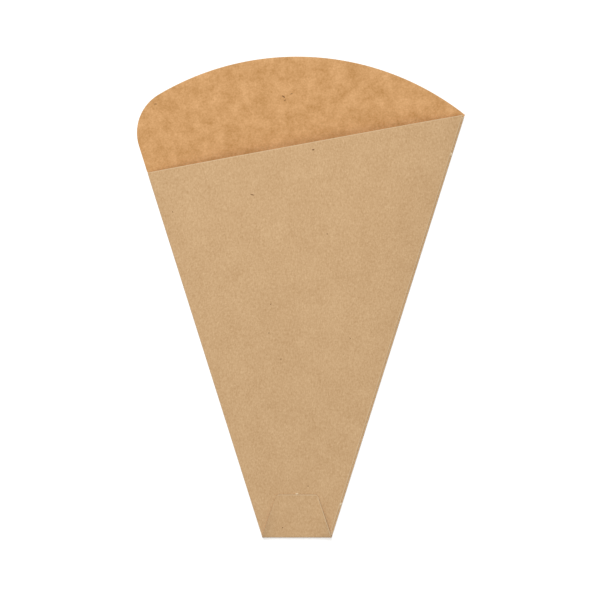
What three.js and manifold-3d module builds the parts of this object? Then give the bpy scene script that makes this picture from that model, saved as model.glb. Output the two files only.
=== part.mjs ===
// A crepe bag: one die-cut sheet of unbleached kraft board, folded into a flat cone-shaped pocket.
// The back panel is arched. The front panel turns over at the left fold, and its free edge is pasted
// onto a glue flap that turns in at the right fold. A tab turns up from the bottom fold and is pasted
// over the front. The mouth stands a little open, as the folds of such a bag spring back.
// Millimetres. +Z is up: the bag lies on its back panel, and +Y runs from the bottom fold to the mouth.
// The origin is the middle of the footprint, on the surface that the bag lies on.

import * as THREE from "three";
import { mergeVertices } from "three/addons/utils/BufferGeometryUtils.js";
import Module from "manifold-3d";

// The sheet
const sheetThickness = 0.3;
const creaseInner = 0.1; // inside radius of the two side folds
const pasteBite = 0.02; // pasted faces run this far into each other, so that they become one solid

// The outline, seen from above, with the bottom fold at height 0
const bottomWidth = 34.5;
const sideLean = THREE.MathUtils.degToRad(17.5); // each side leans out this far from the centre line
const archRise = 29; // the back's arch rises this far above the front's right end, where it starts
const cornerRadius = 22; // rounding of the arch's left corner

// The front panel
const lipRightHeight = 211; // height of the slanting top edge at the right fold
const lipLeftDrop = 13.5; // at the left fold it lies this far below the end of the corner's rounding
const seamInset = 1.1; // the front's cut edge lies this far inside the right fold
const bottomGap = 0.2; // between the bottom fold and the front's bottom edge
const mouthGap = 5.5; // clear height under the middle of the slanting edge
const bulgeStart = 25; // height at which the front begins to lift off the back
const bulgeEase = 0.15; // how softly it begins, as a share of the way to the mouth
const bulgeFullness = 4; // 2 is a round hump, and more is flatter in the middle

// The glue flap
const flapWidth = 12;
const flapTopDrop = 2; // below the front's top edge, at the fold
const flapBottomHeight = 4;
const flapEndSlope = THREE.MathUtils.degToRad(35); // both ends are cut back at this angle

// The tab
const tabHeight = 21.5;
const tabTipWidth = 20.2;
const tabTipRadius = 1.2;

// Steps and the small lengths that the solids share
const panelSteps = 24; // across the front
const lengthSteps = 14; // along the front
const bendSteps = 6; // around each fold
const archSteps = 24; // points on each arc of the outline
const legLength = 2; // each fold's flat leg runs this far into the back panel
const cutRelief = 0.3; // between the end of a fold and the cut edge that goes on in its line
const cutMargin = 5; // a prism that cuts a sheet runs this far past it

const wasm = await Module();
wasm.setup();

// Worked out from the sizes above
const half = sheetThickness / 2;
const layer = sheetThickness - pasteBite; // from one pasted sheet's middle to the next
const creaseMid = creaseInner + half; // radius of the sheet's middle in a side fold
const creaseReach = creaseMid + half; // from the outermost line of a side fold to where its bend starts
const lowLevel = half + 2 * creaseMid; // the sheet's middle, one fold above the back
const highLevel = lowLevel + layer; // and one sheet above that, on the flap
const arch = archShape();
const lipLeftHeight = arch.roundingEnd - lipLeftDrop;
const lipSlope =
  (lipRightHeight - lipLeftHeight) / (halfWidth(lipLeftHeight) + halfWidth(lipRightHeight));
const lipMiddleHeight = lipLeftHeight + lipSlope * halfWidth(lipLeftHeight);
const mouthLift = mouthGap - (restLevel(0.5) - half - sheetThickness);
const frontBottom = bottomFoldMid(1) + half + bottomGap;
const flapTop = lipRightHeight - flapTopDrop;

// Half the bag's width at a height above the bottom fold.
function halfWidth(y) {
  return bottomWidth / 2 + y * Math.tan(sideLean);
}

// The arch, and the rounding of its left corner. The rounding touches the left side and the arch, so its
// centre lies its own radius inside both.
function archShape() {
  const cornerHalf = halfWidth(lipRightHeight);
  const radius = (cornerHalf ** 2 + archRise ** 2) / (2 * archRise);
  const centre = lipRightHeight + archRise - radius;
  const inward = new THREE.Vector2(Math.cos(sideLean), Math.sin(sideLean));
  const upSide = new THREE.Vector2(-Math.sin(sideLean), Math.cos(sideLean));
  const railStart = new THREE.Vector2(-halfWidth(0), 0).addScaledVector(inward, cornerRadius);
  const fromArch = railStart.clone().sub(new THREE.Vector2(0, centre));
  const towards = fromArch.dot(upSide);
  const reach = radius - cornerRadius;
  const along = -towards + Math.sqrt(towards ** 2 - fromArch.lengthSq() + reach ** 2);
  const corner = railStart.clone().addScaledVector(upSide, along);
  return { radius, centre, corner, roundingEnd: corner.y - cornerRadius * Math.sin(sideLean) };
}

// x at a height, for a share q of the way across: 0 is the left fold and 1 the right one.
// A line of constant q is straight, and all of them meet below the bottom fold, as on a cone.
function across(q, y) {
  return (2 * q - 1) * halfWidth(y);
}

// Middle of the front panel, were it pressed flat: it climbs from the left fold onto the flap.
function restLevel(q) {
  return THREE.MathUtils.lerp(lowLevel, highLevel, q);
}

// How far the front is lifted: straight along each line of constant q, and eased in above the tab.
function lift(q, y) {
  const along = (y - bulgeStart) / (lipMiddleHeight - bulgeStart);
  if (along <= 0) return 0;
  const ramp = (Math.hypot(along, bulgeEase) - bulgeEase) / (Math.hypot(1, bulgeEase) - bulgeEase);
  const hump = 1 - Math.abs(2 * q - 1) ** bulgeFullness;
  return mouthLift * ramp * hump;
}

function frontLevel(q, y) {
  return restLevel(q) + lift(q, y);
}

// Radius of the sheet's middle in the bottom fold: it grows to the right, with the layers inside.
function bottomFoldMid(q) {
  return (restLevel(q) + layer - half) / 2;
}

// A point of the sheet's middle surface, and the direction in which the sheet's inner face looks.
function station(x, y, z, inward) {
  return { point: new THREE.Vector3(x, y, z), inward: inward.clone().normalize() };
}

// A station of the front, or of a sheet that lies a number of layers above or below it.
function frontStation(q, y, layers) {
  const step = 0.01;
  const run = across(q + step, y) - across(q - step, y);
  const slopeAcross = (frontLevel(q + step, y) - frontLevel(q - step, y)) / run;
  const slopeAlong = (frontLevel(q, y + step) - frontLevel(q, y - step)) / (2 * step);
  const down = new THREE.Vector3(slopeAcross, slopeAlong, -1);
  return station(across(q, y), y, frontLevel(q, y) + layers * layer, down);
}

// Numbers from the first to the last in equal steps.
function spread(first, last, steps) {
  return Array.from({ length: steps + 1 }, (_, k) => THREE.MathUtils.lerp(first, last, k / steps));
}

// Where one line across the front meets its columns: shares of the way across, left to right.
// They run from the end of the left fold's bend to the front's cut edge.
function sharesAt(y) {
  const left = creaseReach / (2 * halfWidth(y));
  const right = 1 - seamInset / (2 * halfWidth(y));
  return spread(left, right, panelSteps);
}

// Height at which a column of the front meets the slanting edge, which is straight from above.
function lipHeight(column) {
  const side = (2 * column) / panelSteps - 1;
  const inset = THREE.MathUtils.lerp(creaseReach, -seamInset, column / panelSteps);
  const start = lipMiddleHeight + lipSlope * ((side * bottomWidth) / 2 + inset);
  return start / (1 - lipSlope * side * Math.tan(sideLean));
}

// Rows of the front's grid, from its bottom edge to the slanting one, on a number of layers.
// Every pasted sheet takes its stations from this grid, so pasted faces match each other.
function frontRows(layers) {
  const columns = spread(0, panelSteps, panelSteps);
  return spread(0, 1, lengthSteps).map((up) =>
    columns.map((column) => {
      const y = THREE.MathUtils.lerp(frontBottom, lipHeight(column), up);
      return frontStation(sharesAt(y)[column], y, layers);
    }),
  );
}

// Stations around a side fold, from the back panel to the start of the level above it.
// side is -1 for the left fold and 1 for the right one.
function sideFold(side, y) {
  const bendX = side * (halfWidth(y) - creaseReach);
  const leg = station(bendX - side * legLength, y, half, new THREE.Vector3(0, 0, 1));
  const bend = spread(0, Math.PI, bendSteps).slice(0, -1);
  return [
    leg,
    ...bend.map((turn) => {
      const inward = new THREE.Vector3(-side * Math.sin(turn), 0, Math.cos(turn));
      const z = half + creaseMid * (1 - Math.cos(turn));
      return station(bendX + side * creaseMid * Math.sin(turn), y, z, inward);
    }),
  ];
}

// A closed solid from a geometry's triangles.
function solidFrom(geometry) {
  const bare = geometry.index ? geometry.toNonIndexed() : geometry.clone();
  bare.deleteAttribute("normal");
  bare.deleteAttribute("uv");
  const merged = mergeVertices(bare, 1e-4);
  return new wasm.Manifold(
    new wasm.Mesh({
      numProp: 3,
      vertProperties: merged.attributes.position.array,
      triVerts: new Uint32Array(merged.index.array),
    }),
  );
}

// A sheet of board around rows of stations, which run left to right and then upwards
// when the sheet is seen from its inner face.
function sheet(rows) {
  const wide = rows[0].length;
  const high = rows.length;
  const positions = [];
  for (const side of [half, -half])
    for (const row of rows)
      for (const { point, inward } of row)
        positions.push(...point.clone().addScaledVector(inward, side).toArray());
  const inner = (i, j) => j * wide + i;
  const outer = (i, j) => wide * high + inner(i, j);
  const index = [];
  const quad = (a, b, c, d) => index.push(a, b, c, a, c, d);
  for (let j = 0; j < high - 1; j++)
    for (let i = 0; i < wide - 1; i++) {
      quad(inner(i, j), inner(i + 1, j), inner(i + 1, j + 1), inner(i, j + 1));
      quad(outer(i, j), outer(i, j + 1), outer(i + 1, j + 1), outer(i + 1, j));
    }
  const last = { i: wide - 1, j: high - 1 };
  for (let i = 0; i < last.i; i++) {
    quad(outer(i, 0), outer(i + 1, 0), inner(i + 1, 0), inner(i, 0));
    quad(inner(i, last.j), inner(i + 1, last.j), outer(i + 1, last.j), outer(i, last.j));
  }
  for (let j = 0; j < last.j; j++) {
    quad(inner(0, j), inner(0, j + 1), outer(0, j + 1), outer(0, j));
    quad(outer(last.i, j), outer(last.i, j + 1), inner(last.i, j + 1), inner(last.i, j));
  }
  const geometry = new THREE.BufferGeometry();
  geometry.setAttribute("position", new THREE.Float32BufferAttribute(positions, 3));
  geometry.setIndex(index);
  return solidFrom(geometry);
}

// An upright prism on an outline, which cuts a sheet to that outline.
function prism(outline, bottom, top) {
  const settings = { depth: top - bottom, curveSegments: archSteps, bevelEnabled: false };
  return solidFrom(new THREE.ExtrudeGeometry(outline, settings)).translate([0, 0, bottom]);
}

// Outline of the flat back panel: straight sides, a rounded left corner and the arch.
// Beside a fold the side lies where the bend starts, and beyond it on the cut edge in the fold's line.
function backOutline() {
  const outline = new THREE.Shape();
  const sideTo = (side, y, inset) => outline.lineTo(side * (halfWidth(y) - inset), y);
  const cornerJoin = Math.atan2(arch.corner.y - arch.centre, arch.corner.x);
  const archStart = Math.asin((lipRightHeight - arch.centre) / arch.radius);
  outline.moveTo(creaseReach - halfWidth(legLength / 2), legLength / 2);
  sideTo(1, legLength / 2, creaseReach);
  sideTo(1, flapTop + cutRelief, creaseReach);
  sideTo(1, flapTop + cutRelief, 0);
  sideTo(1, lipRightHeight, 0);
  outline.absarc(0, arch.centre, arch.radius, archStart, cornerJoin, false);
  outline.absarc(arch.corner.x, arch.corner.y, cornerRadius, cornerJoin, Math.PI + sideLean, false);
  sideTo(-1, lipLeftHeight + cutRelief, 0);
  sideTo(-1, lipLeftHeight + cutRelief, creaseReach);
  outline.closePath();
  return outline;
}

// The left fold and the front panel, in one stretch of sheet.
// The inner face of a folded-over sheet looks down, so its rows run the other way round.
function frontPanel() {
  return sheet(frontRows(0).map((row) => [...sideFold(-1, row[0].point.y), ...row].reverse()));
}

// The right fold and the glue flap under the front's free edge.
function glueFlap() {
  const rows = frontRows(-1).map((row) => {
    const y = row.at(-1).point.y;
    const fold = sideFold(1, y);
    const bendEnd = frontStation(1 - creaseReach / (2 * halfWidth(y)), y, -1);
    return [...fold, bendEnd, ...row.toReversed()];
  });
  const innerBottom = flapBottomHeight + flapWidth * Math.tan(flapEndSlope);
  const innerTop = flapTop - flapWidth * Math.tan(flapEndSlope);
  const outline = new THREE.Shape([
    new THREE.Vector2(halfWidth(flapBottomHeight) + cutMargin, flapBottomHeight),
    new THREE.Vector2(halfWidth(flapTop) + cutMargin, flapTop),
    new THREE.Vector2(halfWidth(flapTop), flapTop),
    new THREE.Vector2(halfWidth(innerTop) - flapWidth, innerTop),
    new THREE.Vector2(halfWidth(innerBottom) - flapWidth, innerBottom),
    new THREE.Vector2(halfWidth(flapBottomHeight), flapBottomHeight),
  ]);
  return sheet(rows).intersect(prism(outline, -cutMargin, mouthGap + cutMargin));
}

// The bottom fold and the tab over the front.
function bottomTab() {
  const flat = new THREE.Vector3(0, 0, 1);
  const rowAt = (build) => sharesAt(0).map((q) => build(q, bottomFoldMid(q)));
  const leg = rowAt((q) => station(across(q, 0), legLength, half, flat));
  const bend = spread(0, Math.PI, bendSteps).map((turn) =>
    rowAt((q, mid) => {
      const inward = new THREE.Vector3(0, Math.sin(turn), Math.cos(turn));
      const y = half + mid - mid * Math.sin(turn);
      return station(across(q, 0), y, half + mid * (1 - Math.cos(turn)), inward);
    }),
  );
  const onFront = frontRows(1).filter(([{ point }]) => point.y < 2 * tabHeight);
  const strip = sheet([leg, ...bend, ...onFront].toReversed());

  // Each tip is rounded by a curve between its two straight edges.
  const tipHalf = tabTipWidth / 2;
  const tipStart = THREE.MathUtils.lerp(tipHalf, bottomWidth / 2, tabTipRadius / tabHeight);
  const outline = new THREE.Shape();
  outline.moveTo(-bottomWidth / 2, -cutMargin);
  outline.lineTo(bottomWidth / 2, -cutMargin);
  outline.lineTo(bottomWidth / 2, 0);
  outline.lineTo(tipStart, tabHeight - tabTipRadius);
  outline.quadraticCurveTo(tipHalf, tabHeight, tipHalf - tabTipRadius, tabHeight);
  outline.lineTo(tabTipRadius - tipHalf, tabHeight);
  outline.quadraticCurveTo(-tipHalf, tabHeight, -tipStart, tabHeight - tabTipRadius);
  outline.lineTo(-bottomWidth / 2, 0);
  outline.closePath();
  return strip.intersect(prism(outline, -cutMargin, mouthGap + cutMargin));
}

// A geometry of flat triangles from a closed solid.
function geometryFrom(solid) {
  const { vertProperties, triVerts } = solid.getMesh();
  const geometry = new THREE.BufferGeometry();
  geometry.setAttribute("position", new THREE.BufferAttribute(vertProperties, 3));
  geometry.setIndex(new THREE.BufferAttribute(triVerts, 1));
  return geometry.toNonIndexed();
}

const kraftBoard = new THREE.MeshStandardMaterial({
  name: "kraft_board",
  color: "#cda97d",
  roughness: 0.85,
  metalness: 0,
});

const folded = prism(backOutline(), 0, sheetThickness)
  .add(frontPanel())
  .add(glueFlap())
  .add(bottomTab());
const geometry = geometryFrom(folded);
geometry.computeVertexNormals();
geometry.computeBoundingBox();

const bag = new THREE.Mesh(geometry, kraftBoard);
bag.name = "crepe_bag";
const middle = geometry.boundingBox.getCenter(new THREE.Vector3());
bag.position.set(-middle.x, -middle.y, -geometry.boundingBox.min.z);

const group = new THREE.Group();
group.add(bag);

export default group;
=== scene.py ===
"""A crepe bag, folded from one die-cut blank of unbleached kraft board.

The blank is drawn flat, as the die cuts it. A Geometry Nodes tree folds it over its three creases,
springs the front up into the open mouth, and gives the board its thickness and its three finishes:
bare kraft outside, greaseproof film inside and raw fibre on the cut edges. One more tree is used twice:
it sets the torn nicks on the cut edges, and the dark flecks on both faces.

The bag's sizes are in millimetres, and MM turns them to metres where they are used. The distances of
the camera and the lamps are in metres. The bag lies on its back, with +Y running from the bottom fold
to the mouth.
"""

import math

import bmesh
import bpy
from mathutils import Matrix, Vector


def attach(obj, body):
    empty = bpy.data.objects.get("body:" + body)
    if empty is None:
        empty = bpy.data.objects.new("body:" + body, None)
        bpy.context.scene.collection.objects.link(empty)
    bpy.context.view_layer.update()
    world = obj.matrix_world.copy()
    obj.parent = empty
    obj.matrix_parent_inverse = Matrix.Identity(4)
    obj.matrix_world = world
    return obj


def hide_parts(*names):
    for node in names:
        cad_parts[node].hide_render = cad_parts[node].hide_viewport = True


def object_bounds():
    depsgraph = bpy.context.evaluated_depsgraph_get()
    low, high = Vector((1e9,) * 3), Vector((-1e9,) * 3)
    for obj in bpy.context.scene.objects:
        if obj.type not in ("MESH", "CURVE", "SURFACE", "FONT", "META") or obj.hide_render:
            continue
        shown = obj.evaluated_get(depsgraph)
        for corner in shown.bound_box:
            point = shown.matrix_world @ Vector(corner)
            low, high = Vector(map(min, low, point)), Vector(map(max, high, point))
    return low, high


MM = 0.001

# The board and its folds
BOARD = 0.3
PASTE_GAP = 0.01
CREASE_RADIUS = 0.4  # outside radius of the side folds
FOLD_LAYERS = 0.75  # layers by which the bottom fold's radius is larger than theirs, at its middle
FOLD_LAYERS_MORE = 0.25  # and by which it grows from there to its right end

# The outline, seen from above, with the bottom fold at height 0
BOTTOM_WIDTH = 34.5
SIDE_LEAN = math.radians(17.5)
ARCH_RISE = 29.0
CORNER_RADIUS = 22.0

# The front, the mouth and the seam
LIP_LEFT = 182.0  # height of the slanting edge at the left side
LIP_RIGHT = 211.0
SEAM_INSET = 1.1  # from the right side to the front's cut edge
FRONT_BOTTOM = 0.9
MOUTH_LIFT = 5.16
BULGE_START = 25.0
BULGE_EASE = 0.15
BULGE_FULLNESS = 4.0  # 2 is a round hump, and more is flatter in the middle
COCKLE = 0.12  # height of the slow waves in the front where it hangs free
COCKLE_SCALE = 22.0  # waves to the metre, so one is about 45 mm long

# The glue flap and the tab
FLAP_WIDTH = 12.0
FLAP_BOTTOM = 1.1
FLAP_TOP = 210.2
FLAP_END_SLOPE = math.radians(35)
TAB_HEIGHT = 21.5
TAB_TIP_WIDTH = 20.2
TAB_TIP_RADIUS = 1.2
TAB_LIFT = 1.5  # how far its right side's curl rises off the front, before the edge share is added
TAB_EDGE_SHARE = 0.3  # share of that lift added along all its edges, where the paste ends short of them
TAB_LOPSIDED = 0.05  # share by which the curl grows from the tab's middle to the right
TAB_CURL_POWER = 4.0  # the higher it is, the closer to the edges the curl keeps

# Two faint lines pressed into the front, each from one end to the other
LONG_LINE = ((-33.7, 120.8), (53.9, 135.0))
SHORT_LINE = ((-13.5, 101.1), (11.5, 109.5))

# The grid of the sheet
BEND_STEPS = 10
ROWS = 72
ARCH_STEPS = 56
CORNER_STEPS = 14
UPPER_ROWS = 22
FLAP_STEPS = 4
TAB_ROWS = 14
TIP_STEPS = 5
WELD = 0.002  # points nearer to each other than this are one
FRONT_SKIN = 0.7  # the front's outer face lies above this height everywhere
RIM = 0.5  # width of the paler strip along a cut edge: bruised fibre, and a painted highlight where the edge catches the light

BACK, FRONT, FLAP, TAB = range(4)


def linear(hex_colour):
    """An sRGB hex value as linear RGBA."""
    parts = [int(hex_colour[i : i + 2], 16) / 255 for i in (1, 3, 5)]
    return [c / 12.92 if c <= 0.04045 else ((c + 0.055) / 1.055) ** 2.4 for c in parts] + [1.0]


def add(tree, kind, *links, at=None, **settings):
    """Adds a node with its settings, and links or sets its inputs, in order or by name."""
    node = tree.nodes.new(kind)
    for name, value in settings.items():
        setattr(node, name, value)
    for key, value in [*enumerate(links), *(at or {}).items()]:
        if value is None:
            continue
        source = value.outputs[0] if isinstance(value, bpy.types.Node) else value
        if isinstance(source, bpy.types.NodeSocket):
            tree.links.new(source, node.inputs[key])
        else:
            node.inputs[key].default_value = source
    return node


def add_sockets(tree, in_out, kind, *names):
    """Adds named sockets of one kind to a tree's own inputs or outputs."""
    for name in names:
        tree.interface.new_socket(name, in_out=in_out, socket_type="NodeSocket" + kind)


def half_width(y):
    """Half the bag's width at a height above the bottom fold."""
    return BOTTOM_WIDTH / 2 + y * math.tan(SIDE_LEAN)


def spread(first, last, steps):
    """Numbers from the first to the last in equal steps."""
    return [first + (last - first) * k / steps for k in range(steps + 1)]


LIP_SLOPE = (LIP_RIGHT - LIP_LEFT) / (half_width(LIP_LEFT) + half_width(LIP_RIGHT))
LIP_MIDDLE = LIP_LEFT + LIP_SLOPE * half_width(LIP_LEFT)
FOLD_INSET = CREASE_RADIUS / math.cos(SIDE_LEAN)  # level distance from a side to where its bend starts
LAYER = BOARD + PASTE_GAP


def left_outward():
    """Level direction that looks straight out over the left side."""
    return Vector((-math.cos(SIDE_LEAN), -math.sin(SIDE_LEAN)))


def right_outward():
    """Level direction that looks straight out over the right side."""
    return Vector((math.cos(SIDE_LEAN), -math.sin(SIDE_LEAN)))


def side_point(side, y, inset):
    """A point beside the left (-1) or right (1) side, a level distance inside it."""
    return Vector((side * (half_width(y) - inset), y))


def past_side(point, side):
    """How far a point lies straight out beyond the line where a side's bend starts."""
    outward = left_outward() if side < 0 else right_outward()
    return (point - side_point(side, 0, FOLD_INSET)).dot(outward)


def lip_height(share, left, right):
    """Height at which a line across the front, with these insets, meets the slanting edge."""
    side = 2 * share - 1
    inset = left - share * (left + right)
    start = LIP_MIDDLE + LIP_SLOPE * (side * BOTTOM_WIDTH / 2 + inset)
    return start / (1 - LIP_SLOPE * side * math.tan(SIDE_LEAN))


def panel_point(share, up, drop, left, right):
    """A point of the front, or of the back under it. drop is a distance below the row's own height."""
    y = FRONT_BOTTOM + (lip_height(share, left, right) - FRONT_BOTTOM) * up - drop
    across = -half_width(y) + left + share * (2 * half_width(y) - left - right)
    return Vector((across, y))


def rows_up():
    """The rows of the front and the back: (share of the way up, drop below it)."""
    reach = LIP_RIGHT - FRONT_BOTTOM
    ends = [(FLAP_BOTTOM - FRONT_BOTTOM) / reach, (FLAP_TOP - FRONT_BOTTOM) / reach]
    crowded = 0.4 / ROWS  # a row that comes this close to an end of the flap's fold is left out
    inner = [up for up in spread(0, 1, ROWS)[1:-1] if min(abs(up - end) for end in ends) > crowded]
    ups = sorted([0.0, *ends, *inner, 1.0])
    return [(up, 0.0) for up in ups[:-1]] + [(1.0, RIM), (1.0, 0.0)]


def arch_outline():
    """The back's top edge, from where the left corner's rounding starts to the right corner.

    The rounding touches the left side and the arch, so its centre lies its own radius inside both.
    """
    corner_half = half_width(LIP_RIGHT)
    radius = (corner_half**2 + ARCH_RISE**2) / (2 * ARCH_RISE)
    centre = Vector((0, LIP_RIGHT + ARCH_RISE - radius))
    up_side = Vector((-math.sin(SIDE_LEAN), math.cos(SIDE_LEAN)))
    rail = side_point(-1, 0, 0) - left_outward() * CORNER_RADIUS
    from_arch = rail - centre
    towards = from_arch.dot(up_side)
    reach = radius - CORNER_RADIUS
    along = -towards + math.sqrt(towards**2 - from_arch.length_squared + reach**2)
    corner = rail + up_side * along
    join = math.atan2(corner.y - centre.y, corner.x)
    turns = spread(math.pi + SIDE_LEAN, join, CORNER_STEPS)
    rounding = [corner + CORNER_RADIUS * Vector((math.cos(a), math.sin(a))) for a in turns]
    end = math.asin((LIP_RIGHT - centre.y) / radius)
    arch = [centre + radius * Vector((math.cos(a), math.sin(a))) for a in spread(join, end, ARCH_STEPS)]
    return rounding + arch[1:]


def share_of(point):
    """Share of the way across at which a point lies."""
    return (point.x / half_width(point.y) + 1) / 2


def bottom_radius(x):
    """Outside radius of the bottom fold: it grows to the right, with the layers inside."""
    side = x / (BOTTOM_WIDTH / 2)
    return CREASE_RADIUS + LAYER * (FOLD_LAYERS + FOLD_LAYERS_MORE * side)


def tab_half(y):
    """Half the tab's width at a height: tapered sides and two rounded tips."""
    straight = BOTTOM_WIDTH / 2 + (TAB_TIP_WIDTH - BOTTOM_WIDTH) / 2 * max(y, 0) / TAB_HEIGHT
    into_tip = min(1, max(0, (y - TAB_HEIGHT + TAB_TIP_RADIUS) / TAB_TIP_RADIUS))
    return straight - TAB_TIP_RADIUS * (1 - math.sqrt(1 - into_tip**2))


class Blank:
    """The flat blank as a mesh, with the panel, the bend and the rim of each point."""

    def __init__(self):
        self.bm = bmesh.new()
        self.panel = self.bm.verts.layers.int.new("panel")
        self.bend = self.bm.verts.layers.float.new("bend")

    def patch(self, panel, rows, bend=lambda row, place: 0.0):
        """Joins rows of flat points by faces whose outer side looks down.

        bend tells how far the fibre is stretched at a place in a row, from 0 to 1.
        """
        made = []
        for row, points in enumerate(rows):
            line = [self.bm.verts.new((p.x * MM, p.y * MM, 0)) for p in points]
            for place, vert in enumerate(line):
                vert[self.panel] = panel
                vert[self.bend] = bend(row, place)
            made.append(line)
        for low, high in zip(made, made[1:]):
            for k in range(len(low) - 1):
                self.bm.faces.new((low[k], high[k], high[k + 1], low[k + 1]))

    def finish(self, name):
        """Welds the patches along their shared lines, and marks the cut edges.

        The tab's last rows are closer together than the rim is wide, so they get their share of it.
        """
        bmesh.ops.remove_doubles(self.bm, verts=self.bm.verts, dist=WELD * MM)
        rim = self.bm.verts.layers.float.new("rim")
        tab_end = (2 - math.pi) * bottom_radius(0) - TAB_HEIGHT
        for vert in self.bm.verts:
            from_tab_end = vert.co.y / MM - tab_end
            vert[rim] = 1.0 if vert.is_boundary else max(0.0, 1 - from_tab_end / RIM)
        for face in self.bm.faces:
            face.normal_update()
            if face.normal.z > 0:
                face.normal_flip()
        mesh = bpy.data.meshes.new(name)
        self.bm.to_mesh(mesh)
        self.bm.free()
        return mesh


def unfolded(point, side):
    """Where a point of the folded front or flap lies on the flat blank."""
    outward = left_outward() if side < 0 else right_outward()
    inside = -past_side(point, side)
    return point + outward * (math.pi * CREASE_RADIUS + 2 * inside)


def bend_points(base, side):
    """The flat points of a side fold's bend, outwards from where it starts."""
    outward = left_outward() if side < 0 else right_outward()
    return [base + outward * (CREASE_RADIUS * turn) for turn in spread(0, math.pi, BEND_STEPS)]


def nearest(line, y):
    """Number of the point in a line that lies nearest to a height."""
    return min(range(len(line)), key=lambda k: abs(line[k].y - y))


def rows_to_arch(first_row, shares, top):
    """The back above the slanting edge. The last row but one keeps the rim's width to the arch."""
    shortest = 1e-6  # at the arch's right end the way has no length
    made = [first_row]
    for up in spread(0, 1, UPPER_ROWS)[1:]:
        line = []
        for s, edge in zip(shares, top):
            start = panel_point(s, 1.0, 0.0, 0, 0)
            way = max((edge - start).length, shortest)
            line.append(start.lerp(edge, up * max(0.0, 1 - RIM / way)))
        made.append(line)
    return [*made, top]


def front_rows(back):
    """The front on the flat blank, beyond the left fold, with a column where its right rim starts."""
    made = []
    for (up, drop), base in zip(rows_up(), back):
        line = [panel_point(s, up, drop, FOLD_INSET, SEAM_INSET) for s in spread(0, 1, ARCH_STEPS)]
        line[0] = base[0]
        line.insert(-1, line[-1] - Vector((RIM, 0)))
        made.append([unfolded(p, -1) for p in line])
    return made


def flap_rows(beside):
    """The glue flap on the flat blank, beside points of the right fold. Its ends are cut back."""
    low, high = beside[0].y, beside[-1].y
    made = []
    for base in beside:
        way = (base.y - low) / (high - low)
        line = []
        for width in spread(0, FLAP_WIDTH - FOLD_INSET, FLAP_STEPS):
            cut = width * math.tan(FLAP_END_SLOPE)
            y = low + cut + (high - low - 2 * cut) * way
            line.append(unfolded(side_point(1, y, FOLD_INSET + width), 1))
        made.append(line)
    return made


def bottom_start(share):
    """Where the bottom fold's bend starts on the back."""
    side = 2 * share - 1
    y = bottom_radius(side * BOTTOM_WIDTH / 2)
    x = side * (half_width(y) - FOLD_INSET)
    return Vector((x, bottom_radius(x)))


def bottom_fold(starts, shares):
    """The bottom fold's bend on the flat blank, from the back to the tab."""
    made = []
    for turn in spread(0, math.pi, BEND_STEPS):
        line = []
        for s, start in zip(shares, starts):
            x = start.x + ((2 * s - 1) * tab_half(start.y) - start.x) * turn / math.pi
            line.append(Vector((x, bottom_radius(x) * (1 - turn))))
        made.append(line)
    return made


def end_of_bottom_fold(fold, side):
    """The strip outside one end of the bend: it narrows from the bag's side to the tab's."""
    column = 0 if side < 0 else -1
    edge = side_point(side, fold[0][column].y, 0).x
    strip = []
    for line, turn in zip(fold, spread(0, math.pi, BEND_STEPS)):
        x = edge + (fold[-1][column].x - edge) * turn / math.pi
        strip.append([line[column], Vector((x, line[column].y))])
    return strip


def tab_rows(first_row, shares):
    """The tab on the flat blank, past the bottom fold."""
    straight = TAB_HEIGHT - TAB_TIP_RADIUS
    heights = spread(0, straight, TAB_ROWS)[1:]
    turns = spread(0, math.pi / 2, TIP_STEPS)[1:]
    heights += [straight + TAB_TIP_RADIUS * math.sin(turn) for turn in turns]
    made = [first_row]
    for height in heights:
        line = [(2 * s - 1) * tab_half(height) for s in shares]
        made.append([Vector((x, (2 - math.pi) * bottom_radius(x) - height)) for x in line])
    return made


def cut_in_line(blank, side, bases):
    """Fills the back out to its side, beside points where a bend would start."""
    blank.patch(BACK, [[base, side_point(side, base.y, 0)] for base in bases])


def draw_blank():
    """The blank: back, front, flap and tab, with grid lines along every crease."""
    blank = Blank()
    top = arch_outline()
    shares = [max(0.0, min(1.0, share_of(p))) for p in top]
    stretch = [math.sin(turn) for turn in spread(0, math.pi, BEND_STEPS)]

    # The back, under the front and above the slanting edge
    back = [[panel_point(s, up, drop, FOLD_INSET, FOLD_INSET) for s in shares] for up, drop in rows_up()]
    blank.patch(BACK, back)
    blank.patch(BACK, rows_to_arch(back[-1], shares, top))

    # The left fold and the front
    blank.patch(FRONT, [bend_points(line[0], -1) for line in back], lambda row, place: stretch[place])
    blank.patch(FRONT, front_rows(back))

    # The right fold and the flap
    side = [line[-1] for line in back]
    first, last = nearest(side, FLAP_BOTTOM), nearest(side, FLAP_TOP)
    beside = side[first : last + 1]
    blank.patch(FLAP, [bend_points(base, 1) for base in beside], lambda row, place: stretch[place])
    blank.patch(FLAP, flap_rows(beside))

    # The back's last rows, down to the bottom fold, and the fold's bend
    starts = [bottom_start(s) for s in shares]
    fold = bottom_fold(starts, shares)
    blank.patch(BACK, [starts, back[0]])
    blank.patch(TAB, fold, lambda row, place: stretch[row])

    # Beyond the ends of the folds the sheet's side is cut in line with them
    cut_in_line(blank, -1, [starts[0], back[0][0]])
    cut_in_line(blank, 1, [starts[-1], *side[: first + 1]])
    cut_in_line(blank, 1, side[last:])
    for end in (-1, 1):
        blank.patch(TAB, end_of_bottom_fold(fold, end))
    blank.patch(TAB, tab_rows(fold[-1], shares))
    return blank.finish("crepe_bag_blank")


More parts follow.
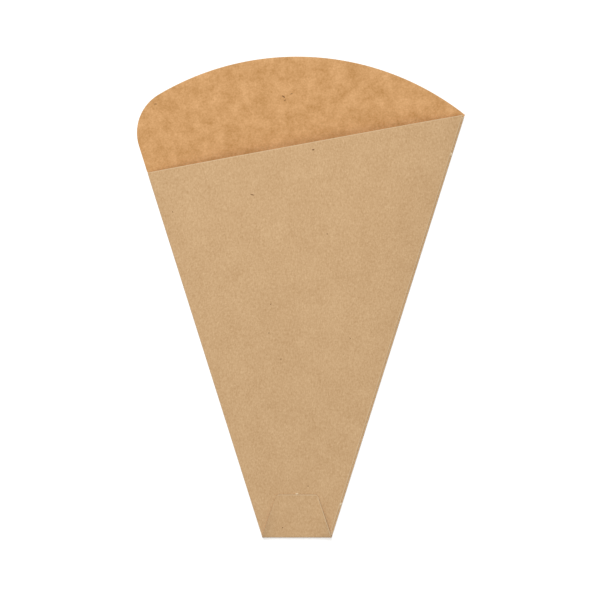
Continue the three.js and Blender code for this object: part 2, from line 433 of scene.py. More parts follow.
def fold_group():
    """Folds what lies beyond a crease: round the crease's radius, and back flat above it."""
    tree = bpy.data.node_groups.new("fold_over_crease", "GeometryNodeTree")
    add_sockets(tree, "INPUT", "Geometry", "Sheet")
    add_sockets(tree, "INPUT", "Bool", "Selection")
    add_sockets(tree, "INPUT", "Vector", "Crease point", "Outward")
    add_sockets(tree, "INPUT", "Float", "Radius")
    add_sockets(tree, "OUTPUT", "Geometry", "Sheet")
    given = add(tree, "NodeGroupInput").outputs
    radius = given["Radius"]
    place = add(tree, "GeometryNodeInputPosition")
    offset = add(tree, "ShaderNodeVectorMath", place, given["Crease point"], operation="SUBTRACT")
    dot = add(tree, "ShaderNodeVectorMath", offset, given["Outward"], operation="DOT_PRODUCT")
    past = dot.outputs["Value"]

    # What is wound round the crease swings up, and the rest lies back over the sheet
    turned = add(tree, "ShaderNodeMath", past, radius, operation="DIVIDE")
    turn = add(tree, "ShaderNodeClamp", turned, 0.0, math.pi)
    arc = add(tree, "ShaderNodeMath", turn, radius, operation="MULTIPLY")
    beyond = add(tree, "ShaderNodeMath", past, arc, operation="SUBTRACT")
    sine = add(tree, "ShaderNodeMath", turn, operation="SINE")
    swing = add(tree, "ShaderNodeMath", sine, radius, operation="MULTIPLY")
    settled = add(tree, "ShaderNodeMath", swing, beyond, operation="SUBTRACT")
    shift = add(tree, "ShaderNodeMath", settled, past, operation="SUBTRACT")
    cosine = add(tree, "ShaderNodeMath", turn, operation="COSINE")
    fall = add(tree, "ShaderNodeMath", 1.0, cosine, operation="SUBTRACT")
    rise = add(tree, "ShaderNodeMath", fall, radius, operation="MULTIPLY")
    level = add(tree, "ShaderNodeVectorMath", given["Outward"], at={"Scale": shift}, operation="SCALE")
    upward = add(tree, "ShaderNodeCombineXYZ", 0.0, 0.0, rise)
    move = add(tree, "ShaderNodeVectorMath", level, upward, operation="ADD")
    outside = add(tree, "ShaderNodeMath", past, 0.0, operation="GREATER_THAN")
    chosen = add(tree, "FunctionNodeBooleanMath", given["Selection"], outside, operation="AND")
    moved = add(tree, "GeometryNodeSetPosition", given["Sheet"], chosen, None, move)
    add(tree, "NodeGroupOutput", moved)
    return tree


def fold_sides(tree, given, chosen, folding, sheet):
    """Folds the front over at the left crease and the flap at the right one."""
    radius = given["Crease radius"]
    lean_cos = add(tree, "ShaderNodeMath", given["Side lean"], operation="COSINE")
    lean_sin = add(tree, "ShaderNodeMath", given["Side lean"], operation="SINE")
    down = add(tree, "ShaderNodeMath", lean_sin, -1.0, operation="MULTIPLY")
    inset = add(tree, "ShaderNodeMath", radius, lean_cos, operation="DIVIDE")
    start = add(tree, "ShaderNodeMath", given["Bottom half width"], inset, operation="SUBTRACT")
    for side, panel in ((-1.0, FRONT), (1.0, FLAP)):
        crease_x = add(tree, "ShaderNodeMath", start, side, operation="MULTIPLY")
        out_x = add(tree, "ShaderNodeMath", lean_cos, side, operation="MULTIPLY")
        crease = add(tree, "ShaderNodeCombineXYZ", crease_x)
        outward = add(tree, "ShaderNodeCombineXYZ", out_x, down)
        folds = (sheet, chosen[panel], crease, outward, radius)
        sheet = add(tree, "GeometryNodeGroup", *folds, node_tree=folding)
    return sheet


def slack_of_front(tree, given, place, off_centre):
    """How freely the front lifts: 0 at its sides and up to just above the tab, 1 in the mouth's middle."""
    start = given["Bulge start"]
    above = add(tree, "ShaderNodeMath", place["Y"], start, operation="SUBTRACT")
    reach = add(tree, "ShaderNodeMath", given["Lip middle height"], start, operation="SUBTRACT")
    along = add(tree, "ShaderNodeMath", above, reach, operation="DIVIDE")
    lifted = add(tree, "ShaderNodeMath", along, 0.0, operation="MAXIMUM")

    # It rises along straight lines, eased in at the start
    ease = given["Bulge ease"]
    ease_squared = add(tree, "ShaderNodeMath", ease, 2.0, operation="POWER")
    ramps = []
    for way in (lifted, 1.0):
        squared = add(tree, "ShaderNodeMath", way, way, ease_squared, operation="MULTIPLY_ADD")
        root = add(tree, "ShaderNodeMath", squared, operation="SQRT")
        ramps.append(add(tree, "ShaderNodeMath", root, ease, operation="SUBTRACT"))
    ramp = add(tree, "ShaderNodeMath", *ramps, operation="DIVIDE")
    away = add(tree, "ShaderNodeMath", off_centre, operation="ABSOLUTE")
    shoulder = add(tree, "ShaderNodeMath", away, given["Bulge fullness"], operation="POWER")
    hump = add(tree, "ShaderNodeMath", 1.0, shoulder, operation="SUBTRACT")
    return add(tree, "ShaderNodeMath", ramp, hump, operation="MULTIPLY")


def open_mouth(tree, given, chosen, place, sheet):
    """Springs the front off the back, and lays its right side on the flap."""
    lean_tan = add(tree, "ShaderNodeMath", given["Side lean"], operation="TANGENT")
    half = given["Bottom half width"]
    width = add(tree, "ShaderNodeMath", place["Y"], lean_tan, half, operation="MULTIPLY_ADD")
    off_centre = add(tree, "ShaderNodeMath", place["X"], width, operation="DIVIDE")
    slack = slack_of_front(tree, given, place, off_centre)
    lift = add(tree, "ShaderNodeMath", slack, given["Mouth lift"], operation="MULTIPLY")

    # The board is never quite flat: a slow cockle where it hangs free
    waves = add(tree, "ShaderNodeTexNoise", at={"Scale": COCKLE_SCALE, "Detail": 1.0}, normalize=False)
    swell = add(tree, "ShaderNodeMath", waves, given["Cockle"], operation="MULTIPLY")
    free = add(tree, "ShaderNodeMath", swell, slack, lift, operation="MULTIPLY_ADD")

    # It also climbs from the left fold onto the flap, which lies one layer under it.
    # The share of the way across is 0 at the left side and 1 at the right.
    share = add(tree, "ShaderNodeMath", off_centre, 0.5, 0.5, operation="MULTIPLY_ADD")
    under = add(tree, "ShaderNodeMath", share, chosen[FLAP], operation="SUBTRACT")
    raised = add(tree, "ShaderNodeMath", under, given["Layer"], free, operation="MULTIPLY_ADD")
    fold_height = add(tree, "ShaderNodeMath", given["Crease radius"], 2.0, operation="MULTIPLY")
    folded_over = add(tree, "ShaderNodeMath", place["Z"], fold_height, operation="DIVIDE")
    spring = add(tree, "ShaderNodeMath", folded_over, raised, operation="MULTIPLY")
    upward = add(tree, "ShaderNodeCombineXYZ", 0.0, 0.0, spring)
    return add(tree, "GeometryNodeSetPosition", sheet, at={"Offset": upward})


def close_bottom(tree, given, chosen, place, folding, sheet):
    """Folds the tab up round all the layers, so the fold's radius grows to the right."""
    side = add(tree, "ShaderNodeMath", place["X"], given["Bottom half width"], operation="DIVIDE")
    layers = add(tree, "ShaderNodeMath", side, FOLD_LAYERS_MORE, FOLD_LAYERS, operation="MULTIPLY_ADD")
    crease_radius = given["Crease radius"]
    radius = add(tree, "ShaderNodeMath", layers, given["Layer"], crease_radius, operation="MULTIPLY_ADD")
    crease = add(tree, "ShaderNodeCombineXYZ", place["X"], radius)
    outward = (0.0, -1.0, 0.0)
    folds = (sheet, chosen[TAB], crease, outward, radius)
    return add(tree, "GeometryNodeGroup", *folds, node_tree=folding)


def curl_tab(tree, given, chosen, place, sheet):
    """Curls the tab's side edges off the front, most of all the right one, and its tip a little."""
    way = add(tree, "ShaderNodeMapRange", place["Y"], 0.0, given["Tab height"])
    rest = add(tree, "ShaderNodeMath", 1.0, way, operation="SUBTRACT")
    fading = add(tree, "ShaderNodeMath", rest, 2.0, operation="POWER")
    rising = add(tree, "ShaderNodeMath", way, fading, operation="MULTIPLY")
    to_one = 27 / 4  # brings the highest rise, a third of the way up, to 1
    edge_share = given["Tab edge share"]
    highest = add(tree, "ShaderNodeMath", rising, to_one, edge_share, operation="MULTIPLY_ADD")

    # The paste ends short of the edges, so they stand free and the middle lies down
    half = given["Bottom half width"]
    tab_side = add(tree, "ShaderNodeMapRange", way, 0.0, 1.0, half, given["Tab tip half width"])
    outward_share = add(tree, "ShaderNodeMath", place["X"], tab_side, operation="DIVIDE")
    either_side = add(tree, "ShaderNodeMath", outward_share, operation="ABSOLUTE")
    to_edge = add(tree, "ShaderNodeMath", either_side, way, operation="MAXIMUM")
    curl = add(tree, "ShaderNodeMath", to_edge, TAB_CURL_POWER, operation="POWER")
    side = add(tree, "ShaderNodeMath", place["X"], half, operation="DIVIDE")
    least = 1 - TAB_LOPSIDED
    lopsided = add(tree, "ShaderNodeMath", side, TAB_LOPSIDED, least, operation="MULTIPLY_ADD")
    curled = add(tree, "ShaderNodeMath", curl, lopsided, operation="MULTIPLY")
    spring_up = add(tree, "ShaderNodeMath", highest, curled, operation="MULTIPLY")

    # The fold's own bend keeps its shape where it starts
    fold_height = add(tree, "ShaderNodeMath", given["Crease radius"], 2.0, operation="MULTIPLY")
    over = add(tree, "ShaderNodeMapRange", place["Z"], 0.0, fold_height, interpolation_type="SMOOTHSTEP")
    loose = add(tree, "ShaderNodeMath", spring_up, over, operation="MULTIPLY")
    stand = add(tree, "ShaderNodeMath", loose, given["Tab lift"], operation="MULTIPLY")
    upward = add(tree, "ShaderNodeCombineXYZ", 0.0, 0.0, stand)
    return add(tree, "GeometryNodeSetPosition", sheet, chosen[TAB], None, upward)


def thicken(tree, given, sheet):
    """Grows the board inwards from its outer face, and marks the inner face and the cut edges."""
    inner = add(tree, "GeometryNodeFlipFaces", sheet)
    growth = {"Offset Scale": given["Board"], "Individual": False}
    grown = add(tree, "GeometryNodeExtrudeMesh", inner, at=growth, mode="FACES")
    marked = grown
    for name, output in (("inner_face", "Top"), ("cut_edge", "Side")):
        marked = add(
            tree,
            "GeometryNodeStoreNamedAttribute",
            marked,
            at={"Name": name, "Value": grown.outputs[output]},
            data_type="BOOLEAN",
            domain="FACE",
        )
    both = add(tree, "GeometryNodeJoinGeometry", sheet)
    tree.links.new(marked.outputs[0], both.inputs[0])
    return add(tree, "GeometryNodeMergeByDistance", both, at={"Distance": 0.001 * MM})


def keep_corners_sharp(tree, board):
    """Shades the board smooth, apart from its corners."""
    smooth = add(tree, "GeometryNodeSetShadeSmooth", board, at={"Shade Smooth": True})
    angle = add(tree, "GeometryNodeInputMeshEdgeAngle")
    limit = math.radians(40)  # an edge bent by more than this is a corner
    corner = add(tree, "ShaderNodeMath", angle, limit, operation="GREATER_THAN")
    return add(
        tree,
        "GeometryNodeStoreNamedAttribute",
        smooth,
        at={"Name": "sharp_edge", "Value": corner},
        data_type="BOOLEAN",
        domain="EDGE",
    )


def bag_tree():
    """Folds the blank, springs the mouth open, and gives the board its thickness and finishes."""
    tree = bpy.data.node_groups.new("folded_crepe_bag", "GeometryNodeTree")
    add_sockets(tree, "INPUT", "Geometry", "Blank")
    add_sockets(tree, "INPUT", "Float", "Board", "Layer", "Crease radius", "Bottom half width", "Side lean")
    add_sockets(tree, "INPUT", "Float", "Lip middle height", "Mouth lift", "Cockle")
    add_sockets(tree, "INPUT", "Float", "Bulge start", "Bulge ease", "Bulge fullness")
    add_sockets(tree, "INPUT", "Float", "Tab height", "Tab tip half width", "Tab lift", "Tab edge share")
    add_sockets(tree, "INPUT", "Vector", "Place")
    add_sockets(tree, "INPUT", "Material", "Outer face", "Inner face", "Cut edge")
    add_sockets(tree, "OUTPUT", "Geometry", "Bag")
    given = add(tree, "NodeGroupInput").outputs
    place = add(tree, "ShaderNodeSeparateXYZ", add(tree, "GeometryNodeInputPosition")).outputs
    panel = add(tree, "GeometryNodeInputNamedAttribute", at={"Name": "panel"}, data_type="INT")
    chosen = {
        number: add(tree, "FunctionNodeCompare", at={2: panel, 3: number}, data_type="INT", operation="EQUAL")
        for number in (FRONT, FLAP, TAB)
    }

    folding = fold_group()
    sheet = fold_sides(tree, given, chosen, folding, given["Blank"])
    sheet = open_mouth(tree, given, chosen, place, sheet)
    sheet = close_bottom(tree, given, chosen, place, folding, sheet)
    sheet = curl_tab(tree, given, chosen, place, sheet)
    placed = add(tree, "GeometryNodeSetPosition", sheet, at={"Offset": given["Place"]})
    board = keep_corners_sharp(tree, thicken(tree, given, placed))

    real = add(tree, "GeometryNodeRealizeInstances", board)
    painted = add(tree, "GeometryNodeSetMaterial", real, at={"Material": given["Outer face"]})
    for name, finish in (("inner_face", "Inner face"), ("cut_edge", "Cut edge")):
        where = add(tree, "GeometryNodeInputNamedAttribute", at={"Name": name}, data_type="BOOLEAN")
        painted = add(tree, "GeometryNodeSetMaterial", painted, where, given[finish])
    add(tree, "NodeGroupOutput", painted)
    return tree


def baked(name, mesh, tree, values):
    """Runs a tree on a mesh and returns the result as a plain object."""
    source = bpy.data.objects.new(name + "_source", mesh)
    bpy.context.scene.collection.objects.link(source)
    modifier = source.modifiers.new("build", "NODES")
    modifier.node_group = tree
    for socket in tree.interface.items_tree:
        if socket.in_out == "INPUT" and socket.name in values:
            modifier[socket.identifier] = values[socket.name]
    evaluated = source.evaluated_get(bpy.context.evaluated_depsgraph_get())
    made = bpy.data.meshes.new_from_object(evaluated)
    made.name = name
    bpy.data.objects.remove(source)
    piece = bpy.data.objects.new(name, made)
    bpy.context.scene.collection.objects.link(piece)
    return piece


def new_material(name):
    """A material with an empty tree."""
    material = bpy.data.materials.new(name)
    material.use_nodes = True
    material.node_tree.nodes.clear()
    return material, material.node_tree


def per_size(size):
    """The scale at which a noise has features about this many millimetres across."""
    return 1 / (size * MM)


def impression(tree, place, first, last):
    """How deep a point lies in a faint pressed line between two places on the front."""
    run = Vector(last) - Vector(first)
    way = run.normalized()
    core, edge = 0.1 * MM, 0.8 * MM  # the groove is deepest up to the one, and ends at the other
    across = add(tree, "ShaderNodeVectorMath", place, (*(Vector(first) * MM), 0.0), operation="SUBTRACT")
    off = add(tree, "ShaderNodeVectorMath", across, (-way.y, way.x, 0.0), operation="DOT_PRODUCT")
    along = add(tree, "ShaderNodeVectorMath", across, (*way, 0.0), operation="DOT_PRODUCT")
    away = add(tree, "ShaderNodeMath", off.outputs["Value"], operation="ABSOLUTE")
    groove = add(tree, "ShaderNodeMapRange", away, core, edge, 1.0, 0.0)
    half = run.length * MM / 2
    inside = add(tree, "ShaderNodeMath", along.outputs["Value"], half, half, operation="COMPARE")
    return add(tree, "ShaderNodeMath", groove, inside, operation="MULTIPLY")


def pressed_lines(tree, place, bag_place):
    """The two faint lines pressed into the front's outer face. The short one is half as deep."""
    at_bag = add(tree, "ShaderNodeVectorMath", place, tuple(bag_place), operation="SUBTRACT")
    long_line = impression(tree, at_bag, *LONG_LINE)
    short_line = impression(tree, at_bag, *SHORT_LINE)
    both_lines = add(tree, "ShaderNodeMath", short_line, 0.5, long_line, operation="MULTIPLY_ADD")
    height = add(tree, "ShaderNodeSeparateXYZ", at_bag).outputs["Z"]
    on_front = add(tree, "ShaderNodeMath", height, FRONT_SKIN * MM, operation="GREATER_THAN")
    return add(tree, "ShaderNodeMath", both_lines, on_front, operation="MULTIPLY")


def unbleached_kraft(bag_place):
    """Unbleached kraft board, calendered and bare: matt brown fibre with a fine, felted grain."""
    material, tree = new_material("unbleached_kraft_board")
    place = add(tree, "ShaderNodeTexCoord").outputs["Object"]

    # Fibre flocks of 1 mm. Real strands are too fine to show, and are drawn about 0.45 mm wide, three
    # times as long and a little aslant. The faint clouds of 12.5 mm come from the papermaker's wire.
    flock = {"Scale": per_size(1.0), "Detail": 4.0, "Roughness": 0.65}
    strand = {"Scale": per_size(1 / 2.2), "Detail": 2.0, "Distortion": 0.8}
    aslant = {"Scale": (1.0, 0.3, 1.0), "Rotation": (0.0, 0.0, 0.3)}
    flocks = add(tree, "ShaderNodeTexNoise", place, at=flock)
    clouds = add(tree, "ShaderNodeTexNoise", place, at={"Scale": per_size(12.5), "Detail": 2.0})
    strands = add(tree, "ShaderNodeTexNoise", add(tree, "ShaderNodeMapping", place, at=aslant), at=strand)
    grain = add(tree, "ShaderNodeMix", at={0: 0.45, 2: flocks, 3: strands}, data_type="FLOAT")
    mottle = add(tree, "ShaderNodeMix", at={0: 0.14, 2: grain, 3: clouds}, data_type="FLOAT")
    depth = add(tree, "ShaderNodeMapRange", mottle, 0.33, 0.67)
    shades = {0: depth, 6: linear("#bf9769"), 7: linear("#dfbb8e")}
    body = add(tree, "ShaderNodeMix", at=shades, data_type="RGBA")

    # A pressed line is painted a little darker: painted shade in its groove, on top of the sunk relief below
    pressed = pressed_lines(tree, place, bag_place)
    shaded = add(tree, "ShaderNodeMath", pressed, 0.08, operation="MULTIPLY")
    shades = {0: shaded, 6: body.outputs[2], 7: linear("#ab8457")}
    marked = add(tree, "ShaderNodeMix", at=shades, data_type="RGBA")

    # The die bruises the fibre along a cut edge, and a crease stretches it: both turn paler. The paler cut
    # edge is also a painted highlight, for the light the edge would catch
    rim = add(tree, "ShaderNodeAttribute", attribute_name="rim").outputs["Fac"]
    bend = add(tree, "ShaderNodeAttribute", attribute_name="bend").outputs["Fac"]
    # painted highlight: the rim is made paler for bruised fibre and also for light caught by the cut edge
    edge_wear_and_painted_highlight = add(tree, "ShaderNodeMath", rim, 0.9, operation="MULTIPLY")
    stretched = add(tree, "ShaderNodeMath", bend, 0.4, edge_wear_and_painted_highlight, operation="MULTIPLY_ADD")
    shades = {0: stretched, 6: marked.outputs[2], 7: linear("#e4c8a2")}
    colour = add(tree, "ShaderNodeMix", at=shades, data_type="RGBA")

    # The grain is felt as well as seen, and a pressed line is sunk into it
    sunk = add(tree, "ShaderNodeMath", pressed, -0.6, grain, operation="MULTIPLY_ADD")
    relief = add(tree, "ShaderNodeBump", at={"Strength": 0.3, "Distance": 0.06 * MM, "Height": sunk})
    finish = {"Base Color": colour.outputs[2], "Roughness": 0.85, "IOR": 1.45, "Normal": relief}
    surface = add(tree, "ShaderNodeBsdfPrincipled", at=finish)
    add(tree, "ShaderNodeOutputMaterial", surface)
    return material


def greaseproof_face():
    """The board's inner face under a thin greaseproof film: deeper in colour, cloudy, with a low sheen."""
    material, tree = new_material("greaseproof_film_on_kraft")
    place = add(tree, "ShaderNodeTexCoord").outputs["Object"]

    # The film wets the fibre unevenly, in soft clouds of about 8 mm over the board's own flocks of 1 mm
    cloud = {"Scale": per_size(1 / 0.13), "Detail": 5.0, "Roughness": 0.66}
    flock = {"Scale": per_size(1 / 1.1), "Detail": 4.0, "Roughness": 0.65}
    blotches = add(tree, "ShaderNodeTexNoise", place, at=cloud)
    flocks = add(tree, "ShaderNodeTexNoise", place, at=flock)
    mottle = add(tree, "ShaderNodeMix", at={0: 0.45, 2: blotches, 3: flocks}, data_type="FLOAT")
    depth = add(tree, "ShaderNodeMapRange", mottle, 0.34, 0.66)
    shades = {0: depth, 6: linear("#b88240"), 7: linear("#e3ae74")}
    body = add(tree, "ShaderNodeMix", at=shades, data_type="RGBA")

    # Along a cut edge the film is broken, and the fibre shows paler through it. The paleness is also a
    # painted highlight, for the light the edge would catch
    rim = add(tree, "ShaderNodeAttribute", attribute_name="rim").outputs["Fac"]
    edge_wear_and_painted_highlight = add(tree, "ShaderNodeMath", rim, 0.3, operation="MULTIPLY")
    shades = {0: edge_wear_and_painted_highlight, 6: body.outputs[2], 7: linear("#e0bd8c")}
    colour = add(tree, "ShaderNodeMix", at=shades, data_type="RGBA")
    relief = add(tree, "ShaderNodeBump", at={"Strength": 0.15, "Distance": 0.05 * MM, "Height": mottle})
    finish = {"Base Color": colour.outputs[2], "Roughness": 0.6, "IOR": 1.5, "Normal": relief}
    surface = add(tree, "ShaderNodeBsdfPrincipled", at=finish)
    add(tree, "ShaderNodeOutputMaterial", surface)
    return material


def bare_fibre(name, shade, tint):
    """Dry fibre without a skin, paler than either face: cut through by the die, or torn at a nick."""
    material, tree = new_material(name)
    place = add(tree, "ShaderNodeTexCoord").outputs["Object"]

    # The tufts of fibre are too fine to show, and are drawn about 0.4 mm wide
    tufts = add(tree, "ShaderNodeTexNoise", place, at={"Scale": per_size(0.4), "Detail": 2.0})
    shades = {0: tufts, 6: linear(shade), 7: linear(tint)}
    colour = add(tree, "ShaderNodeMix", at=shades, data_type="RGBA")
    finish = {"Base Color": colour.outputs[2], "Roughness": 0.95}
    surface = add(tree, "ShaderNodeBsdfPrincipled", at=finish)
    add(tree, "ShaderNodeOutputMaterial", surface)
    return material


def bark_fleck():
    """A speck of bark or dark fibre left in the pulp: dry, dull and dark brown."""
    material, tree = new_material("bark_fleck")
    finish = {"Base Color": linear("#7d5631"), "Roughness": 0.9}
    surface = add(tree, "ShaderNodeBsdfPrincipled", at=finish)
    add(tree, "ShaderNodeOutputMaterial", surface)
    return material


def listed_points(tree, given, bag):
    """Drops the listed places straight down onto the bag."""
    reach = 100 * MM
    fall = {"Ray Direction": (0.0, 0.0, -1.0), "Ray Length": reach}
    hit = add(tree, "GeometryNodeRaycast", bag, at=fall)
    return add(tree, "GeometryNodeSetPosition", given["Places"], None, hit.outputs["Hit Position"])


def strewn_points(tree, given, bag):
    """Points anywhere on the bag's faces, of any size between the two limits and at any turn."""
    density = {"Density": given["Strewn per square metre"], "Seed": given["Seed"]}
    strewn = add(tree, "GeometryNodeDistributePointsOnFaces", bag, at=density)
    seed = {"Seed": given["Seed"]}
    limits = (given["Smallest"], given["Largest"])
    size = add(tree, "FunctionNodeRandomValue", *limits, at=seed, data_type="FLOAT_VECTOR")
    sized = add(
        tree,
        "GeometryNodeStoreNamedAttribute",
        strewn,
        at={"Name": "bit_size", "Value": size},
        data_type="FLOAT_VECTOR",
    )
    half_turn = {2: 0.0, 3: math.pi, **seed}
    angle = add(tree, "FunctionNodeRandomValue", at=half_turn, data_type="FLOAT")
    return add(
        tree,
        "GeometryNodeStoreNamedAttribute",
        sized,
        at={"Name": "bit_turn", "Value": angle.outputs[1]},
        data_type="FLOAT",
    )


def bits_tree():
    """Sets small bits on the bag: at listed places, and strewn over its faces by chance."""
    tree = bpy.data.node_groups.new("bits_on_the_bag", "GeometryNodeTree")
    add_sockets(tree, "INPUT", "Geometry", "Places")
    add_sockets(tree, "INPUT", "Object", "Bag")
    add_sockets(tree, "INPUT", "Float", "Strewn per square metre")
    add_sockets(tree, "INPUT", "Int", "Seed", "Subdivisions")
    add_sockets(tree, "INPUT", "Vector", "Smallest", "Largest")
    add_sockets(tree, "INPUT", "Float", "Ruggedness")
    add_sockets(tree, "INPUT", "Material", "Finish")
    add_sockets(tree, "OUTPUT", "Geometry", "Bits")
    given = add(tree, "NodeGroupInput").outputs
    bag = add(tree, "GeometryNodeObjectInfo", given["Bag"]).outputs["Geometry"]
    all_places = add(tree, "GeometryNodeJoinGeometry", listed_points(tree, given, bag))
    tree.links.new(strewn_points(tree, given, bag).outputs[0], all_places.inputs[0])

    # Each bit is a lump, stretched and turned as its place says
    turn = add(tree, "GeometryNodeInputNamedAttribute", at={"Name": "bit_turn"}, data_type="FLOAT")
    scale = add(tree, "GeometryNodeInputNamedAttribute", at={"Name": "bit_size"}, data_type="FLOAT_VECTOR")
    radius = 1.0
    lump = add(tree, "GeometryNodeMeshIcoSphere", radius, given["Subdivisions"])
    turned = add(tree, "ShaderNodeCombineXYZ", 0.0, 0.0, turn)
    shape = {"Instance": lump, "Rotation": turned, "Scale": scale}
    bits = add(tree, "GeometryNodeInstanceOnPoints", all_places, at=shape)
    real = add(tree, "GeometryNodeRealizeInstances", bits)

    # A torn bit is rugged, with tufts of about 0.3 mm
    tufts = add(tree, "ShaderNodeTexNoise", at={"Scale": per_size(1 / 3.5), "Detail": 1.0})
    middle = (0.5, 0.5, 0.5)
    centred = add(tree, "ShaderNodeVectorMath", tufts.outputs["Color"], middle, operation="SUBTRACT")
    amount = {"Scale": given["Ruggedness"]}
    rugged = add(tree, "ShaderNodeVectorMath", centred, at=amount, operation="SCALE")
    torn = add(tree, "GeometryNodeSetPosition", real, at={"Offset": rugged})
    painted = add(tree, "GeometryNodeSetMaterial", torn, at={"Material": given["Finish"]})
    add(tree, "NodeGroupOutput", painted)
    return tree


def listed_places(name, place, spots):
    """Points above the bag, each with the half lengths and the turn of the bit to set there."""
    mesh = bpy.data.meshes.new(name)
    above = 20.0
    mesh.from_pydata([place + Vector((x, y, above)) * MM for x, y, *_ in spots], [], [])
    mesh.attributes.new("bit_size", "FLOAT_VECTOR", "POINT")
    mesh.attributes.new("bit_turn", "FLOAT", "POINT")
    for k, (_, _, length, width, thickness, turn) in enumerate(spots):
        mesh.attributes["bit_size"].data[k].vector = Vector((length, width, thickness)) / 2 * MM
        mesh.attributes["bit_turn"].data[k].value = math.radians(turn)
    return mesh


def build_flecks(place, bag, tree, finish):
    """Dark specks in both faces: the larger ones where they lie on this bag, the small ones by chance.

    Each larger one is given as x, y, length, width, thickness and turn.
    """
    skin = 0.03
    spots = [
        (-22.2, 170.9, 2.4, 0.5, skin, -12),
        (8.1, 193.3, 1.4, 0.9, skin, 20),
        (15.0, 151.5, 1.0, 0.5, skin, 110),
        (-61.9, 162.4, 1.0, 0.5, skin, 150),
        (-13.0, 116.5, 1.1, 0.4, skin, 40),
        (-8.0, 89.1, 1.0, 0.5, skin, 80),
        (-14.0, 102.1, 0.9, 0.5, skin, 10),
        (26.4, 99.6, 1.1, 0.4, skin, 130),
        (5.5, 25.7, 0.9, 0.5, skin, 170),
        (-7.2, 5.0, 0.9, 0.5, skin, 50),
        (-6.7, 220.0, 2.0, 0.7, skin, -35),
        (-6.0, 218.2, 1.5, 0.4, skin, 20),
        (-2.8, 221.4, 1.5, 0.4, skin, 20),
        (-70.6, 216.3, 2.0, 0.4, skin, 5),
    ]
    values = {
        "Bag": bag,
        "Strewn per square metre": 9000.0,
        "Seed": 7,
        "Subdivisions": 1,
        "Smallest": (0.06 * MM, 0.03 * MM, 0.01 * MM),
        "Largest": (0.28 * MM, 0.08 * MM, 0.015 * MM),
        "Ruggedness": 0.0,
        "Finish": finish,
    }
    return baked("bark_flecks", listed_places("fleck_places", place, spots), tree, values)


def build_nicks(place, bag, tree, finish):
    """Torn stubs where the die's nicks held the blank in its sheet: two on the seam, one on the tab."""
    along_seam = 90 - math.degrees(SIDE_LEAN)
    inset = SEAM_INSET - 0.4  # the stubs on the seam stand this much outside the front's cut edge
    spots = [
        (half_width(191.3) - inset, 191.3, 1.7, 0.9, 0.5, along_seam),
        (half_width(16.7) - inset, 16.7, 1.6, 0.9, 0.5, along_seam),
        (0.0, TAB_HEIGHT + 0.3, 1.5, 0.9, 0.5, 0),
    ]
    values = {
        "Bag": bag,
        "Strewn per square metre": 0.0,
        "Seed": 3,
        "Subdivisions": 3,
        "Ruggedness": 0.3 * MM,
        "Finish": finish,
    }
    return baked("torn_nicks", listed_places("nick_places", place, spots), tree, values)


def build_bag(place, finishes):
    """The folded bag, which stands for the plain solid."""
    outer, inner, edge = finishes
    values = {
        "Board": BOARD * MM,
        "Layer": LAYER * MM,
        "Crease radius": CREASE_RADIUS * MM,
        "Bottom half width": BOTTOM_WIDTH / 2 * MM,
        "Side lean": SIDE_LEAN,
        "Lip middle height": LIP_MIDDLE * MM,
        "Mouth lift": MOUTH_LIFT * MM,
        "Cockle": COCKLE * MM,
        "Bulge start": BULGE_START * MM,
        "Bulge ease": BULGE_EASE,
        "Bulge fullness": BULGE_FULLNESS,
        "Tab height": TAB_HEIGHT * MM,
        "Tab tip half width": TAB_TIP_WIDTH / 2 * MM,
        "Tab lift": TAB_LIFT * MM,
        "Tab edge share": TAB_EDGE_SHARE,
        "Place": place,
        "Outer face": outer,
        "Inner face": inner,
        "Cut edge": edge,
    }
    return baked("folded_bag", draw_blank(), bag_tree(), values)


def white_ground():
    """White paper sweep under the bag: it shows as plain white, and keeps the bag's shadow."""
    material, tree = new_material("white_ground")
    paper = add(tree, "ShaderNodeBsdfDiffuse", (0.8, 0.8, 0.8, 1.0))
    glow = add(tree, "ShaderNodeEmission", (1.0, 1.0, 1.0, 1.0), 0.4)
    shown = add(tree, "ShaderNodeAddShader", paper, glow)
    ray = add(tree, "ShaderNodeLightPath").outputs["Is Camera Ray"]
    mixed = add(tree, "ShaderNodeMixShader", ray, paper, shown)
    add(tree, "ShaderNodeOutputMaterial", mixed)
    gap = 0.1 * MM
    bpy.ops.mesh.primitive_plane_add(size=6.0, location=(0, 0, -gap))
    floor = bpy.context.object
    floor.name = "ground"
    floor.data.materials.append(material)


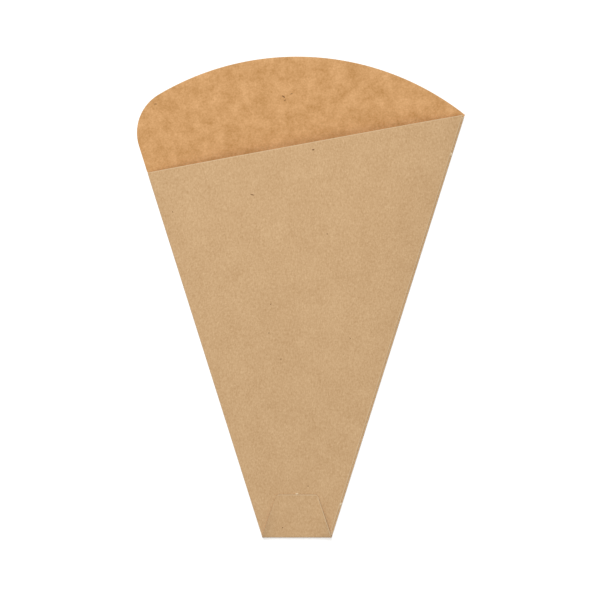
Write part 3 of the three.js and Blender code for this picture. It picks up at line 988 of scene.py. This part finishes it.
def lights():
    """A big soft box high beyond the mouth, a weak one high beyond the bottom fold, and a bright room."""
    world = bpy.data.worlds.new("room")
    bpy.context.scene.world = world
    world.use_nodes = True
    tree = world.node_tree
    tree.nodes.clear()
    white = (1.0, 1.0, 1.0, 1.0)
    room = add(tree, "ShaderNodeBackground", white, 0.38)
    seen = add(tree, "ShaderNodeBackground", white, 1.0)
    ray = add(tree, "ShaderNodeLightPath").outputs["Is Camera Ray"]
    add(tree, "ShaderNodeOutputWorld", add(tree, "ShaderNodeMixShader", ray, room, seen))
    for name, spot, size, power in (
        ("key_box", (-0.2, 0.75, 0.85), 0.7, 8.6),
        ("front_box", (0.0, -0.42, 1.05), 0.5, 2.1),
    ):
        lamp = bpy.data.lights.new(name, "AREA")
        lamp.shape = "SQUARE"
        lamp.size = size
        lamp.energy = power
        box = bpy.data.objects.new(name, lamp)
        box.location = spot
        box.rotation_euler = (-box.location).to_track_quat("-Z", "Y").to_euler()
        bpy.context.scene.collection.objects.link(box)


def camera(place):
    """Straight above the bag, with a long lens, framed as in the photograph."""
    pixels = 600
    bag_top, bag_bottom = 56.6, 537.5  # rows of the photograph at the arch's top and the bottom fold
    bag_axis = 297.0  # column of the photograph on the bag's centre line
    length = (LIP_RIGHT + ARCH_RISE) * MM
    scale = length / (bag_bottom - bag_top)
    distance = 1.6
    view = bpy.data.cameras.new("camera")
    view.sensor_width = 36.0
    view.lens = view.sensor_width * distance / (pixels * scale)
    eye = bpy.data.objects.new("camera", view)
    across = place.x + (pixels / 2 - bag_axis) * scale
    along = place.y + (bag_bottom - pixels / 2) * scale
    eye.location = (across, along, distance)
    bpy.context.scene.collection.objects.link(eye)
    bpy.context.scene.camera = eye


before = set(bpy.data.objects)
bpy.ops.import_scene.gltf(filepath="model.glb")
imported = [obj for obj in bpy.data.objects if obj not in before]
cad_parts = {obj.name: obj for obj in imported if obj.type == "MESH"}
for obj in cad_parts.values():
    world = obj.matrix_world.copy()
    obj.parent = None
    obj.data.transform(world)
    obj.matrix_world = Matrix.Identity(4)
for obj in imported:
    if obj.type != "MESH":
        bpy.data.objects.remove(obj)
cad_low, cad_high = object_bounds()
bpy.context.scene.view_settings.view_transform = "Standard"

# The blank's own origin, in the part's frame: the middle of the bottom fold
bag_place = Vector((cad_high.x - half_width(LIP_RIGHT) * MM, cad_low.y, 0.0))
camera(bag_place)
lights()
white_ground()

raw_edge = bare_fibre("raw_kraft_fibre", "#c9a67a", "#e8cfa9")
torn_fibre = bare_fibre("torn_kraft_fibre", "#e0c59c", "#f0dfc0")
bag = build_bag(bag_place, (unbleached_kraft(bag_place), greaseproof_face(), raw_edge))
bits = bits_tree()
flecks = build_flecks(bag_place, bag, bits, bark_fleck())
nicks = build_nicks(bag_place, bag, bits, torn_fibre)
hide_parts("crepe_bag")
for piece in (bag, flecks, nicks):
    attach(piece, "root")
